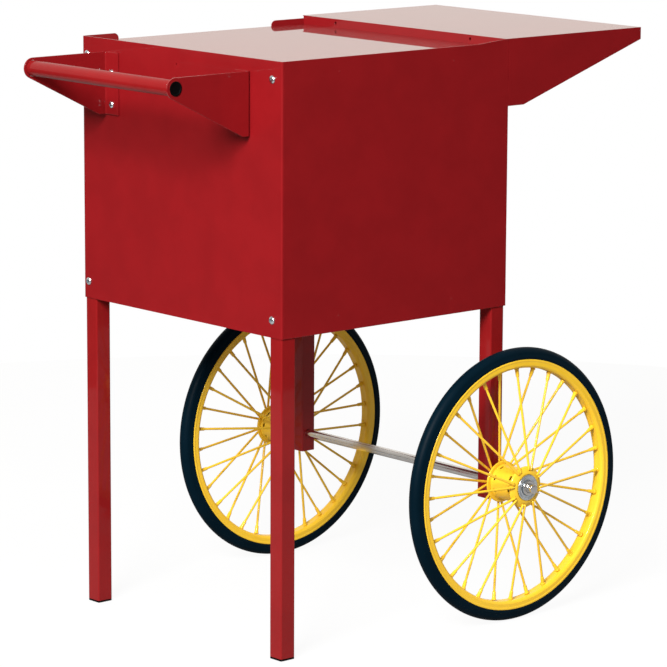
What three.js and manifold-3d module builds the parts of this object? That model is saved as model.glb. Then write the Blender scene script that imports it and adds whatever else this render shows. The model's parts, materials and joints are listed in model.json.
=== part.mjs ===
// Popcorn cart: a sheet-metal cabinet on four square legs with a push handle, a fold-over
// side shelf and two large spoked wheels that turn on one through axle.
// Millimetres, +Z up. The handle is at -X, the shelf and the wheels are at +X.
// The near side is -Y and the open storage side is +Y. The floor is z = 0.

import * as THREE from 'three';
import { mergeVertices } from 'three/addons/utils/BufferGeometryUtils.js';
import Module from 'manifold-3d';

const wasm = await Module();
wasm.setup();

// ---------------------------------------------------------------- driving dimensions

const GAP = 0.3;
const SHEET = 1.5;

const CAB_X0 = -311;
const CAB_X1 = 171;
const CAB_HALF = 254;
const CAB_Z0 = 520;
const LIP_Z = 955;
const DECK_Z = 945.5;
const BEND = 3;
const RETURN_DEPTH = 3.3;

const DECK_SKIRT = 25;
const FLOOR_Z = 521;
const FLOOR_UPSTAND = 30;

const LIP_RAMP_X = 102;
const LIP_RAMP_Z = 959.7;
const TAB_ROUND = 9;
const TAB_LEFT_X = -237;
const TAB_RIGHT_X = 93;
const BAY = { x0: -237, x1: 91, z0: 560, z1: 905, round: 12 };

const LEG = 28.6;
const LEG_WALL = 1.6;
const LEG_ROUND = 2.5;
const SHORT_LEG_Z = 197.5;
const CAP_HEIGHT = 3;

const SHELF_X1 = 477;
const SHELF_BACK_X = 165;
const SHELF_Z = 960;
const SHELF_LIP = 20;
const GUSSET_DROP = 110;
const GUSSET_FLAT_X = 206;
const GUSSET_FLANGE = 22;
const SHELF_HOLE = { y: 168, z: 953, r: 2.6 };

const HANDLE_X = -460;
const HANDLE_Z = 917.5;
const HANDLE_R = 12.7;
const HANDLE_WALL = 1.6;
const BRACKET_NEAR_Y = -178;
const BRACKET_FAR_Y = 191;
const BRACKET_SHEET = 2.5;
const BRACKET_BEND = 4.5;
const BRACKET_NOSE = 17;
const BRACKET_Z0 = 832.5;
const BRACKET_FLAT = 15.5;
const BRACKET_FLANGE = 35;
const BRACKET_SCREW_INSET = 18;
const BRACKET_SCREW_Z = [849, 901];

const CORNER_SCREW_Y = [-231, 241];
const CORNER_SCREW_Z = [548, 926];
const SHELF_BOLT_Z = [872, 928];
const LOCATING_HOLE = { y: 7, z: 929, r: 1.5 };

const AXLE_X = 155;
const AXLE_Z = 228.6;
const AXLE_R = 7.5;
const AXLE_HALF = 345;
const PIN_Y = 340;
const PIN_TILT = -35;

const WHEEL_Y = 295.5;
const WHEEL_R = 228.6;
const TYRE_HALF = 11.5;
const RIM_R = 209.5;
const RIM_INNER_R = 195;
const RIM_WALL = 2;
const FLANGE_W = 25;
const FLANGE_R = 34.8;
const BARREL_R = 29.5;
const BARREL_WALL = 2.5;
const BARREL_SLOT = { w0: 14.5, w1: 19.5, across: 9 };
const BEARING_R = 21.5;
const SPOKE_R = 2.1;
const NIPPLE_R = 3.2;
const NIPPLE_LENGTH = 12;
const SPOKE_PAIRS = 8;
const SPOKE_STEP = 11.25;
const SPOKE_HUB_R = 30.5;
const SPOKE_HUB_W = 29.6;
const SPOKE_HUB_SPREAD = 4.6;
const ROUND_SEGMENTS = 56;
const HUB_SEGMENTS = 32;

// ---------------------------------------------------------------- materials

const RED = new THREE.MeshStandardMaterial({ color: 0xa5181d, roughness: 0.3, metalness: 0.1 });
const YELLOW = new THREE.MeshStandardMaterial({ color: 0xf5c52b, roughness: 0.35, metalness: 0.05 });
const RUBBER = new THREE.MeshStandardMaterial({ color: 0x10202a, roughness: 0.55, metalness: 0 });
const STEEL = new THREE.MeshStandardMaterial({ color: 0xb9bec4, roughness: 0.3, metalness: 0.9 });
const ZINC = new THREE.MeshStandardMaterial({ color: 0xd3d8dc, roughness: 0.25, metalness: 0.9 });
const BLACK = new THREE.MeshStandardMaterial({ color: 0x141414, roughness: 0.5, metalness: 0 });

// ---------------------------------------------------------------- geometry helpers

const radians = THREE.MathUtils.degToRad;

/** Welds a geometry, drops collapsed triangles and turns its faces outwards. */
function weld(geometry) {
  const bare = geometry.clone();
  bare.deleteAttribute('normal');
  bare.deleteAttribute('uv');
  const merged = mergeVertices(bare, 1e-4);
  const index = Array.from(merged.index.array);
  const position = merged.attributes.position;
  const point = (i) => new THREE.Vector3().fromBufferAttribute(position, i);
  const kept = [];
  let volume = 0;
  for (let i = 0; i < index.length; i += 3) {
    const [a, b, c] = index.slice(i, i + 3);
    if (a === b || b === c || c === a) {
      continue;
    }
    kept.push([a, b, c]);
    volume += point(a).dot(point(b).cross(point(c)));
  }
  const order = volume < 0 ? kept.map(([a, b, c]) => [a, c, b]) : kept;
  merged.setIndex(order.flat());
  return merged;
}

/** Makes a Manifold solid from a closed three.js geometry. */
function solid(geometry) {
  const welded = weld(geometry);
  return new wasm.Manifold(
    new wasm.Mesh({
      numProp: 3,
      vertProperties: new Float32Array(welded.attributes.position.array),
      triVerts: new Uint32Array(welded.index.array),
    }),
  );
}

const join = (first, ...others) => others.reduce((sum, next) => sum.add(next), first);
const cut = (body, ...tools) => tools.reduce((rest, tool) => rest.subtract(tool), body);

/** Box between two corners. */
function box(x0, x1, y0, y1, z0, z1) {
  const geometry = new THREE.BoxGeometry(x1 - x0, y1 - y0, z1 - z0);
  geometry.translate((x0 + x1) / 2, (y0 + y1) / 2, (z0 + z1) / 2);
  return solid(geometry);
}

/** Corner arc for a plate outline, centre (cx, cy), angles in degrees. */
function arc(cx, cy, r, from, to, steps = 5) {
  const points = [];
  for (let i = 0; i <= steps; i += 1) {
    const a = radians(from + ((to - from) * i) / steps);
    points.push([cx + r * Math.cos(a), cy + r * Math.sin(a)]);
  }
  return points;
}

/** Closed outline of a rectangle with rounded corners. */
function roundedRectangle(x0, x1, y0, y1, r, steps = 4) {
  return [
    ...arc(x1 - r, y1 - r, r, 0, 90, steps),
    ...arc(x0 + r, y1 - r, r, 90, 180, steps),
    ...arc(x0 + r, y0 + r, r, 180, 270, steps),
    ...arc(x1 - r, y0 + r, r, 270, 360, steps),
  ];
}

/** Straight extrusion of an outline, before it is turned into place. */
function extruded(outline, depth) {
  const shape = new THREE.Shape(outline.map(([a, b]) => new THREE.Vector2(a, b)));
  return new THREE.ExtrudeGeometry(shape, { depth, bevelEnabled: false });
}

/** Plate with its outline in X and Y. */
function plateXY(outline, z0, z1) {
  const geometry = extruded(outline, z1 - z0);
  geometry.translate(0, 0, z0);
  return solid(geometry);
}

/** Plate with its outline in X and Z. */
function plateXZ(outline, y0, y1) {
  const geometry = extruded(outline, y1 - y0);
  geometry.rotateX(Math.PI / 2);
  geometry.translate(0, y1, 0);
  return solid(geometry);
}

/** Round bar from one point to another. */
function rod(from, to, r, segments = 16) {
  const axis = new THREE.Vector3().subVectors(to, from);
  const geometry = new THREE.CylinderGeometry(r, r, axis.length(), segments);
  const turn = new THREE.Quaternion();
  turn.setFromUnitVectors(new THREE.Vector3(0, 1, 0), axis.clone().normalize());
  geometry.applyQuaternion(turn);
  geometry.translate(...new THREE.Vector3().addVectors(from, to).multiplyScalar(0.5).toArray());
  return solid(geometry);
}

const barX = (x0, x1, y, z, r, segments) =>
  rod(new THREE.Vector3(x0, y, z), new THREE.Vector3(x1, y, z), r, segments);
const barY = (y0, y1, x, z, r, segments) =>
  rod(new THREE.Vector3(x, y0, z), new THREE.Vector3(x, y1, z), r, segments);

/** Ring or disc turned about the Y axis from a closed [radius, y] profile. */
function turned(profile, segments = ROUND_SEGMENTS) {
  const points = profile.map(([r, y]) => new THREE.Vector2(r, y));
  points.push(points[0].clone());
  return solid(new THREE.LatheGeometry(points, segments));
}

/** Same profile turned about the wheel axis, side = -1 near or +1 far, y measured outwards. */
function onWheel(profile, side, segments = ROUND_SEGMENTS) {
  const placed = profile.map(([r, w]) => [r, side * (WHEEL_Y + w)]);
  return turned(placed, segments).translate([AXLE_X, 0, AXLE_Z]);
}

const root = new THREE.Group();
root.name = 'popcorn_cart';

/** Adds a finished solid to the cart as one named piece. */
function piece(name, body, material) {
  const mesh = body.getMesh();
  const geometry = new THREE.BufferGeometry();
  geometry.setAttribute('position', new THREE.BufferAttribute(mesh.vertProperties, 3));
  geometry.setIndex(new THREE.BufferAttribute(mesh.triVerts, 1));
  geometry.computeVertexNormals();
  const part = new THREE.Mesh(geometry, material);
  part.name = name;
  root.add(part);
}

const SIDES = [
  { label: 'near', sign: -1 },
  { label: 'far', sign: 1 },
];
const sorted = (a, b) => [Math.min(a, b), Math.max(a, b)];

// ---------------------------------------------------------------- cabinet panels

const inside = CAB_HALF - SHEET;
const legOuter = inside - GAP;
const legInner = legOuter - LEG;
const endLegX0 = CAB_X0 + SHEET + GAP;
const shortLegX1 = CAB_X1 - SHEET - GAP;

const cornerScrewHoles = CORNER_SCREW_Y.flatMap((y) =>
  CORNER_SCREW_Z.map((z) => barX(CAB_X0 - 1, CAB_X0 + 5, y, z, 2.3, 12)),
);
const bracketScrewSpots = [
  { side: 'near', y: BRACKET_NEAR_Y + BRACKET_SCREW_INSET },
  { side: 'far', y: BRACKET_FAR_Y - BRACKET_SCREW_INSET },
];
const bracketScrewHoles = bracketScrewSpots.flatMap(({ y }) =>
  BRACKET_SCREW_Z.map((z) => barX(CAB_X0 - 5, CAB_X0 + 5, y, z, 2.3, 12)),
);

/** Panel under the handle, bent round both vertical corners. */
function handleEndPanel() {
  const x = (depth) => CAB_X0 + depth;
  const innerBend = BEND - SHEET;
  const outline = [
    [x(RETURN_DEPTH), -CAB_HALF],
    [x(RETURN_DEPTH), -inside],
    ...arc(x(BEND), -CAB_HALF + BEND, innerBend, 270, 180),
    ...arc(x(BEND), CAB_HALF - BEND, innerBend, 180, 90),
    [x(RETURN_DEPTH), inside],
    [x(RETURN_DEPTH), CAB_HALF],
    ...arc(x(BEND), CAB_HALF - BEND, BEND, 90, 180),
    ...arc(x(BEND), -CAB_HALF + BEND, BEND, 180, 270),
  ];
  const { y, z, r } = LOCATING_HOLE;
  const locatingHole = barX(CAB_X0 - 1, CAB_X0 + 5, y, z, r, 10);
  const holes = [...cornerScrewHoles, ...bracketScrewHoles, locatingHole];
  return cut(plateXY(outline, CAB_Z0, LIP_Z), ...holes);
}

const sideX0 = CAB_X0 + RETURN_DEPTH + GAP;
const sideNotchZ = SHELF_Z - SHEET - GAP;
const sideNotchX = SHELF_BACK_X - GAP;

/** Closed side panel, its top edge rising to the back corner of the shelf. */
function nearSidePanel() {
  const outline = [
    [sideX0, CAB_Z0],
    [CAB_X1, CAB_Z0],
    [CAB_X1, sideNotchZ],
    [sideNotchX, sideNotchZ],
    [sideNotchX, LIP_RAMP_Z],
    [LIP_RAMP_X, LIP_Z],
    [sideX0, LIP_Z],
  ];
  return plateXZ(outline, -CAB_HALF, -inside);
}

/** Open side panel: a frame round the storage bay, with two rounded tabs above the deck. */
function farSidePanel() {
  const low = DECK_Z - GAP;
  const outline = [
    [sideX0, CAB_Z0],
    [CAB_X1, CAB_Z0],
    [CAB_X1, LIP_Z],
    ...arc(TAB_RIGHT_X + TAB_ROUND, LIP_Z - TAB_ROUND, TAB_ROUND, 90, 180),
    [TAB_RIGHT_X, low],
    [TAB_LEFT_X, low],
    ...arc(TAB_LEFT_X - TAB_ROUND, LIP_Z - TAB_ROUND, TAB_ROUND, 0, 90),
    [sideX0, LIP_Z],
  ];
  const opening = roundedRectangle(BAY.x0, BAY.x1, BAY.z0, BAY.z1, BAY.round);
  return cut(plateXZ(outline, inside, CAB_HALF), plateXZ(opening, inside - 2, CAB_HALF + 2));
}

const shelfBoltHoles = SIDES.flatMap(({ sign }) =>
  SHELF_BOLT_Z.map((z) =>
    barX(shortLegX1 - 5, CAB_X1 + 5, sign * (legOuter - LEG / 2), z, 3.3, 16),
  ),
);

/** Panel behind the shelf, between the two side panels. */
function shelfEndPanel() {
  const plate = box(CAB_X1 - SHEET, CAB_X1, -legOuter, legOuter, CAB_Z0, LIP_Z);
  return cut(plate, ...shelfBoltHoles);
}

/** Four strips between the legs, just inside the panels, that the deck and floor are bent into. */
function skirt(x1, z0, z1) {
  const x0 = endLegX0;
  const clear = 1;
  const legX0 = x0 + LEG + clear;
  const legX1 = shortLegX1 - LEG - clear;
  const legY = legInner - clear;
  return [
    box(x0, x0 + SHEET, -legY, legY, z0, z1),
    box(x1 - SHEET, x1, -legY, legY, z0, z1),
    box(legX0, legX1, -legOuter, -legOuter + SHEET, z0, z1),
    box(legX0, legX1, legOuter - SHEET, legOuter, z0, z1),
  ];
}

/** Recessed top with its edges folded down, ending where the shelf's back flange stands. */
function topDeck() {
  const deckX1 = SHELF_BACK_X - GAP;
  const outline = roundedRectangle(endLegX0, deckX1, -legOuter, legOuter, 2);
  const under = DECK_Z - SHEET;
  return join(
    plateXY(outline, under, DECK_Z),
    ...skirt(deckX1, DECK_Z - DECK_SKIRT, under + 0.5),
  );
}

/** Floor of the storage bay, notched round the legs and folded up at its edges. */
function floorPan() {
  const sheet = box(endLegX0, shortLegX1, -legOuter, legOuter, FLOOR_Z, FLOOR_Z + SHEET);
  const notch = LEG + 1;
  const corners = [-1, 1].flatMap((sign) => {
    const [y0, y1] = sorted(sign * (legOuter - notch), sign * (legOuter + 2));
    return [
      box(endLegX0 - 2, endLegX0 + notch, y0, y1, FLOOR_Z - 1, FLOOR_Z + 3),
      box(shortLegX1 - notch, shortLegX1 + 2, y0, y1, FLOOR_Z - 1, FLOOR_Z + 3),
    ];
  });
  const upstands = skirt(shortLegX1, FLOOR_Z + 0.5, FLOOR_Z + FLOOR_UPSTAND);
  return join(cut(sheet, ...corners), ...upstands);
}

piece('handle_end_panel', handleEndPanel(), RED);
piece('shelf_end_panel', shelfEndPanel(), RED);
piece('near_side_panel', nearSidePanel(), RED);
piece('far_side_panel', farSidePanel(), RED);
piece('top_deck', topDeck(), RED);
piece('floor_pan', floorPan(), RED);

// ---------------------------------------------------------------- legs and feet

const legTop = DECK_Z - SHEET - GAP;

/** Square tube with rounded edges, standing on the given rectangle corner. */
function squareTube(x0, sign, z0) {
  const [y0, y1] = sorted(sign * legInner, sign * legOuter);
  const w = LEG_WALL;
  const outer = roundedRectangle(x0, x0 + LEG, y0, y1, LEG_ROUND, 3);
  const bore = roundedRectangle(x0 + w, x0 + LEG - w, y0 + w, y1 - w, LEG_ROUND - w + 0.4, 2);
  return cut(plateXY(outer, z0, legTop), plateXY(bore, z0 - 5, legTop + 5));
}

/** Plastic cap under a long leg: a foot plate with a plug that fills the tube end. */
function footCap(sign) {
  const [y0, y1] = sorted(sign * legInner, sign * legOuter);
  const fit = LEG_WALL + GAP;
  const x0 = endLegX0;
  const foot = roundedRectangle(x0, x0 + LEG, y0, y1, LEG_ROUND, 3);
  const plug = roundedRectangle(x0 + fit, x0 + LEG - fit, y0 + fit, y1 - fit, 1.5, 2);
  return join(plateXY(foot, 0, CAP_HEIGHT), plateXY(plug, CAP_HEIGHT - 0.5, CAP_HEIGHT + 14));
}

for (const { label, sign } of SIDES) {
  const longLeg = squareTube(endLegX0, sign, CAP_HEIGHT + GAP);
  const shortLeg = squareTube(shortLegX1 - LEG, sign, SHORT_LEG_Z);
  const [y0, y1] = sorted(sign * (legInner - 5), sign * (legOuter + 5));
  const axleHole = barY(y0, y1, AXLE_X, AXLE_Z, AXLE_R + GAP, 24);
  piece(`${label}_long_leg`, cut(longLeg, ...cornerScrewHoles), RED);
  piece(`${label}_short_leg`, cut(shortLeg, axleHole, ...shelfBoltHoles), RED);
  piece(`${label}_foot_cap`, footCap(sign), BLACK);
}

// ---------------------------------------------------------------- fasteners

/** Pan-head screw facing -X, with a cross recess, its shank running towards +X. */
function panScrew(x, y, z, headR, length) {
  const dome = [[0, -3.2], [headR * 0.45, -3.1], [headR * 0.8, -2.4], [headR, -1.0], [headR, 0]];
  const profile = [...dome, [2, 0], [2, length], [0, length]];
  const points = profile.map(([r, h]) => new THREE.Vector2(r, h));
  const geometry = new THREE.LatheGeometry(points, 12);
  geometry.rotateZ(-Math.PI / 2);
  geometry.translate(x, y, z);
  const arm = headR * 0.5;
  return cut(
    solid(geometry),
    box(x - 5, x - 1.6, y - arm, y + arm, z - 0.6, z + 0.6),
    box(x - 5, x - 1.6, y - 0.6, y + 0.6, z - arm, z + arm),
  );
}

/** Hexagon-head bolt facing +X, its shank running towards -X. */
function hexBolt(x, y, z) {
  return join(barX(x, x + 4, y, z, 5.8, 6), barX(x - 12, x + 1, y, z, 3, 16));
}

const levels = ['lower', 'upper'];
CORNER_SCREW_Y.forEach((y, i) => {
  CORNER_SCREW_Z.forEach((z, j) => {
    const name = `${SIDES[i].label}_${levels[j]}_panel_screw`;
    piece(name, panScrew(CAB_X0 - GAP, y, z, 6.3, 8), ZINC);
  });
});
bracketScrewSpots.forEach(({ side, y }) => {
  BRACKET_SCREW_Z.forEach((z, j) => {
    const x = CAB_X0 - 2 * GAP - BRACKET_SHEET;
    piece(`${side}_${levels[j]}_bracket_screw`, panScrew(x, y, z, 5.6, 11), ZINC);
  });
});
for (const { label, sign } of SIDES) {
  SHELF_BOLT_Z.forEach((z, j) => {
    const x = CAB_X1 + SHEET + 2 * GAP;
    piece(`${label}_${levels[j]}_shelf_bolt`, hexBolt(x, sign * (legOuter - LEG / 2), z), ZINC);
  });
}

// ---------------------------------------------------------------- push handle

/** Bent sheet seen from above: the arm along X, then its flange along the end panel. */
function bentArm(outerY, inward, z0, z1) {
  const face = CAB_X0 - GAP;
  const tip = HANDLE_X - 2 * BRACKET_NOSE;
  const y = (depth) => outerY + inward * depth;
  const innerBend = BRACKET_BEND - BRACKET_SHEET;
  const bendX = face - BRACKET_BEND;
  const bendY = y(BRACKET_BEND);
  const outline = [
    [tip, y(0)],
    ...arc(bendX, bendY, BRACKET_BEND, -90 * inward, 0, 6),
    [face, y(BRACKET_FLANGE)],
    [face - BRACKET_SHEET, y(BRACKET_FLANGE)],
    ...arc(bendX, bendY, innerBend, 0, -90 * inward, 4),
    [tip, y(BRACKET_SHEET)],
  ];
  return plateXY(outline, z0, z1);
}

/** Arm plate with a rounded nose round the tube and a flange on the end panel. */
function handleBracket(outerY, inward) {
  const noseTop = HANDLE_Z + BRACKET_NOSE;
  const start = new THREE.Vector2(CAB_X0 - BRACKET_FLAT, BRACKET_Z0);
  const centre = new THREE.Vector2(HANDLE_X, HANDLE_Z);
  const span = centre.clone().sub(start);
  const lean = Math.asin(BRACKET_NOSE / span.length());
  const slope = THREE.MathUtils.radToDeg(span.angle() + lean);
  const outline = [
    [CAB_X0 + 1, BRACKET_Z0],
    [CAB_X0 + 1, noseTop],
    ...arc(HANDLE_X, HANDLE_Z, BRACKET_NOSE, 90, slope + 90, 12),
    [start.x, start.y],
  ];
  const [y0, y1] = sorted(outerY - inward * 5, outerY + inward * (BRACKET_FLANGE + 5));
  const side = plateXZ(outline, y0, y1);
  const tubeHole = barY(y0, y1, HANDLE_X, HANDLE_Z, HANDLE_R + GAP, 32);
  const arm = bentArm(outerY, inward, BRACKET_Z0 - 5, noseTop + 5).intersect(side);
  return cut(arm, tubeHole, ...bracketScrewHoles);
}

/** Plastic plug with a thin head over the tube end. */
function handlePlug(endY, outward) {
  const headFrom = endY + outward * GAP;
  const headTo = headFrom + outward * 0.9;
  const stemTo = endY - outward * 9;
  const [h0, h1] = sorted(headFrom, headTo);
  const [s0, s1] = sorted(headFrom + outward * 0.5, stemTo);
  return join(
    barY(h0, h1, HANDLE_X, HANDLE_Z, 11.6, 32),
    barY(s0, s1, HANDLE_X, HANDLE_Z, HANDLE_R - HANDLE_WALL - GAP, 32),
  );
}

const tubeBore = barY(BRACKET_NEAR_Y - 5, BRACKET_FAR_Y + 5, HANDLE_X, HANDLE_Z,
  HANDLE_R - HANDLE_WALL, 32);
const tubeSkin = barY(BRACKET_NEAR_Y, BRACKET_FAR_Y, HANDLE_X, HANDLE_Z, HANDLE_R, 32);
piece('handle_tube', cut(tubeSkin, tubeBore), RED);
piece('near_handle_bracket', handleBracket(BRACKET_NEAR_Y, 1), RED);
piece('far_handle_bracket', handleBracket(BRACKET_FAR_Y, -1), RED);
piece('near_handle_plug', handlePlug(BRACKET_NEAR_Y, -1), BLACK);
piece('far_handle_plug', handlePlug(BRACKET_FAR_Y, 1), BLACK);

// ---------------------------------------------------------------- side shelf

/** Folded shelf: top, back flange at the deck's end, front lip and two wedge gussets. */
function sideShelf() {
  const top = SHELF_Z - SHEET;
  const x0 = CAB_X1 + GAP;
  const backTo = SHELF_BACK_X + SHEET;
  const lip = SHELF_Z - SHELF_LIP;
  const drop = SHELF_Z - GUSSET_DROP;
  const wedge = [
    [x0, drop],
    [GUSSET_FLAT_X, drop],
    [SHELF_X1, lip],
    [SHELF_X1, top + 0.5],
    [x0, top + 0.5],
  ];
  const parts = [
    box(SHELF_BACK_X, backTo, -legOuter, legOuter, legTop + GAP, top + 0.5),
    box(SHELF_X1 - SHEET, SHELF_X1, -CAB_HALF, CAB_HALF, lip, top + 0.5),
    plateXZ(wedge, -CAB_HALF, -inside),
    plateXZ(wedge, inside, CAB_HALF),
  ];
  for (const { sign } of SIDES) {
    const [y0, y1] = sorted(sign * (CAB_HALF - GUSSET_FLANGE), sign * (CAB_HALF - 0.5));
    parts.push(box(x0, x0 + SHEET, y0, y1, drop, top + 0.5));
  }
  const holes = [-1, 1].map((sign) =>
    barX(SHELF_BACK_X - 3, backTo + 1, sign * SHELF_HOLE.y, SHELF_HOLE.z, SHELF_HOLE.r, 16),
  );
  const plate = box(SHELF_BACK_X, SHELF_X1, -CAB_HALF, CAB_HALF, top, SHELF_Z);
  return cut(join(plate, ...parts), ...holes, ...shelfBoltHoles);
}

piece('side_shelf', sideShelf(), RED);

// ---------------------------------------------------------------- axle and its hardware

const pinAngle = radians(PIN_TILT);
const pinAxis = new THREE.Vector3(Math.cos(pinAngle), 0, Math.sin(pinAngle));

/** Point on a split pin: distance along it, then sideways towards the cart's outside. */
function pinPoint(sign, along, out) {
  const point = new THREE.Vector3(AXLE_X, sign * (PIN_Y + out), AXLE_Z);
  return point.addScaledVector(pinAxis, along);
}

/** Split pin: eye, shank through the axle and two spread legs. */
function splitPin(sign) {
  const eye = new THREE.TorusGeometry(3.1, 1.1, 6, 14);
  eye.rotateX(Math.PI / 2);
  eye.rotateY(-pinAngle);
  eye.translate(...pinPoint(sign, -12.2, 0).toArray());
  return join(
    rod(pinPoint(sign, -9.9, 0), pinPoint(sign, 10.2, 0), 1.5, 12),
    solid(eye),
    rod(pinPoint(sign, 9, 0), pinPoint(sign, 17, 3.4), 0.9, 8),
    rod(pinPoint(sign, 9, 0), pinPoint(sign, 17, -2.4), 0.9, 8),
  );
}

const axleProfile = [
  [0, -AXLE_HALF],
  [AXLE_R - 1.2, -AXLE_HALF],
  [AXLE_R, -AXLE_HALF + 1.2],
  [AXLE_R, AXLE_HALF - 1.2],
  [AXLE_R - 1.2, AXLE_HALF],
  [0, AXLE_HALF],
];
const axleLathe = new THREE.LatheGeometry(
  axleProfile.map(([r, y]) => new THREE.Vector2(r, y)),
  32,
);
axleLathe.translate(AXLE_X, 0, AXLE_Z);
const pinHoles = SIDES.map(({ sign }) =>
  rod(pinPoint(sign, -10, 0), pinPoint(sign, 10, 0), 1.9, 12),
);
piece('axle', cut(solid(axleLathe), ...pinHoles), STEEL);

const boreR = AXLE_R + GAP;
const bearingFace = FLANGE_W + 10.4;

for (const { label, sign } of SIDES) {
  const washerFrom = WHEEL_Y + bearingFace + GAP;
  const spacerTo = WHEEL_Y - bearingFace - GAP;
  const ring = (outer, y0, y1) => {
    const [a, b] = sorted(sign * y0, sign * y1);
    const profile = [[boreR, a], [outer, a], [outer, b], [boreR, b]];
    return turned(profile, 20).translate([AXLE_X, 0, AXLE_Z]);
  };
  piece(`${label}_axle_spacer`, ring(11, legOuter + GAP, spacerTo), STEEL);
  piece(`${label}_axle_washer`, ring(12.5, washerFrom, washerFrom + 1.8), STEEL);
  piece(`${label}_split_pin`, splitPin(sign), STEEL);
}

// ---------------------------------------------------------------- wheels

const tyreCentre = WHEEL_R - TYRE_HALF;
const channel = TYRE_HALF - RIM_WALL - GAP;
const tyreProfile = [
  [RIM_INNER_R + RIM_WALL + GAP, -channel],
  [RIM_R + GAP, -channel],
  [RIM_R + GAP, -TYRE_HALF],
  ...arc(tyreCentre, 0, TYRE_HALF, -90, 90, 8),
  [RIM_R + GAP, TYRE_HALF],
  [RIM_R + GAP, channel],
  [RIM_INNER_R + RIM_WALL + GAP, channel],
];
const rimProfile = [
  [RIM_R, -TYRE_HALF + RIM_WALL],
  [RIM_INNER_R + RIM_WALL, -TYRE_HALF + RIM_WALL],
  [RIM_INNER_R + RIM_WALL, TYRE_HALF - RIM_WALL],
  [RIM_R, TYRE_HALF - RIM_WALL],
  [RIM_R, TYRE_HALF],
  [RIM_INNER_R + 3.4, TYRE_HALF],
  [RIM_INNER_R + 0.9, TYRE_HALF - 1.2],
  [RIM_INNER_R, TYRE_HALF - 3.4],
  [RIM_INNER_R, -TYRE_HALF + 3.4],
  [RIM_INNER_R + 0.9, -TYRE_HALF + 1.2],
  [RIM_INNER_R + 3.4, -TYRE_HALF],
  [RIM_R, -TYRE_HALF],
];
const barrelHalf = FLANGE_W - GAP;
const barrelProfile = [
  [BARREL_R - BARREL_WALL, -barrelHalf],
  [BARREL_R, -barrelHalf],
  [BARREL_R, barrelHalf],
  [BARREL_R - BARREL_WALL, barrelHalf],
];
const flangeProfile = [
  [BEARING_R + GAP, FLANGE_W],
  [FLANGE_R - 0.6, FLANGE_W],
  [FLANGE_R, FLANGE_W + 2],
  [FLANGE_R - 1.5, FLANGE_W + 4],
  [30, FLANGE_W + 6],
  [25, FLANGE_W + 8.2],
  [BEARING_R + GAP, FLANGE_W + 8.2],
];
const bearingProfile = [
  [boreR, FLANGE_W - 3],
  [BEARING_R, FLANGE_W - 3],
  [BEARING_R, FLANGE_W + 9],
  [BEARING_R - 0.8, FLANGE_W + 9.8],
  [17.5, FLANGE_W + 9.8],
  [16.5, FLANGE_W + 8.2],
  [13, FLANGE_W + 8.2],
  [12, bearingFace],
  [boreR, bearingFace],
];

/** Slots through the hub barrel beside a flange, midway between its pairs of spokes. */
function barrelSlots(sign, flangeSide, middle) {
  const { w0, w1, across } = BARREL_SLOT;
  const halfStep = 180 / SPOKE_PAIRS;
  return Array.from({ length: SPOKE_PAIRS }, (_, i) => {
    const geometry = new THREE.BoxGeometry(12, w1 - w0, across);
    geometry.translate(BARREL_R, (sign * flangeSide * (w0 + w1)) / 2, 0);
    geometry.rotateY(-radians(middle + halfStep * (2 * i + 1)));
    geometry.translate(AXLE_X, sign * WHEEL_Y, AXLE_Z);
    return solid(geometry);
  });
}

/** Spoke with its nipple, from a point on the hub to a point on the rim. */
function spoke(from, to) {
  const axis = new THREE.Vector3().subVectors(to, from);
  const length = axis.length();
  const profile = [
    [0, 0],
    [SPOKE_R, 0],
    [SPOKE_R, length - NIPPLE_LENGTH - 2],
    [NIPPLE_R * 0.85, length - NIPPLE_LENGTH],
    [NIPPLE_R, length],
    [0, length],
  ];
  const points = profile.map(([r, h]) => new THREE.Vector2(r, h));
  const geometry = new THREE.LatheGeometry(points, 6);
  const turn = new THREE.Quaternion();
  turn.setFromUnitVectors(new THREE.Vector3(0, 1, 0), axis.normalize());
  geometry.applyQuaternion(turn);
  geometry.translate(...from.toArray());
  return solid(geometry);
}

/** Point at a radius and angle round the wheel, w outwards from the wheel plane. */
function wheelPoint(sign, radius, degrees, w) {
  const a = radians(degrees);
  return new THREE.Vector3(
    AXLE_X + radius * Math.cos(a),
    sign * (WHEEL_Y + w),
    AXLE_Z + radius * Math.sin(a),
  );
}

/** One hub flange with its eight pairs of spokes. The rim ends all lie in the wheel plane. */
function spokeSet(sign, flangeSide, middle) {
  const profile = flangeProfile.map(([r, w]) => [r, flangeSide * w]);
  const parts = [onWheel(profile, sign, HUB_SEGMENTS)];
  for (let i = 0; i < SPOKE_PAIRS; i += 1) {
    const centre = middle + (360 / SPOKE_PAIRS) * i;
    for (const lean of [-1, 1]) {
      const hubAt = centre + lean * SPOKE_HUB_SPREAD;
      const rimAt = centre + lean * SPOKE_STEP;
      const hub = wheelPoint(sign, SPOKE_HUB_R, hubAt, flangeSide * SPOKE_HUB_W);
      const rim = wheelPoint(sign, RIM_INNER_R - 1.2, rimAt, 0);
      parts.push(spoke(hub, rim));
    }
  }
  return join(...parts);
}

const flipped = (profile) => profile.map(([r, w]) => [r, -w]);
const PAIR_ANGLES = { near: { outer: 32.75, inner: 44 }, far: { outer: 16, inner: 27.25 } };

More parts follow.
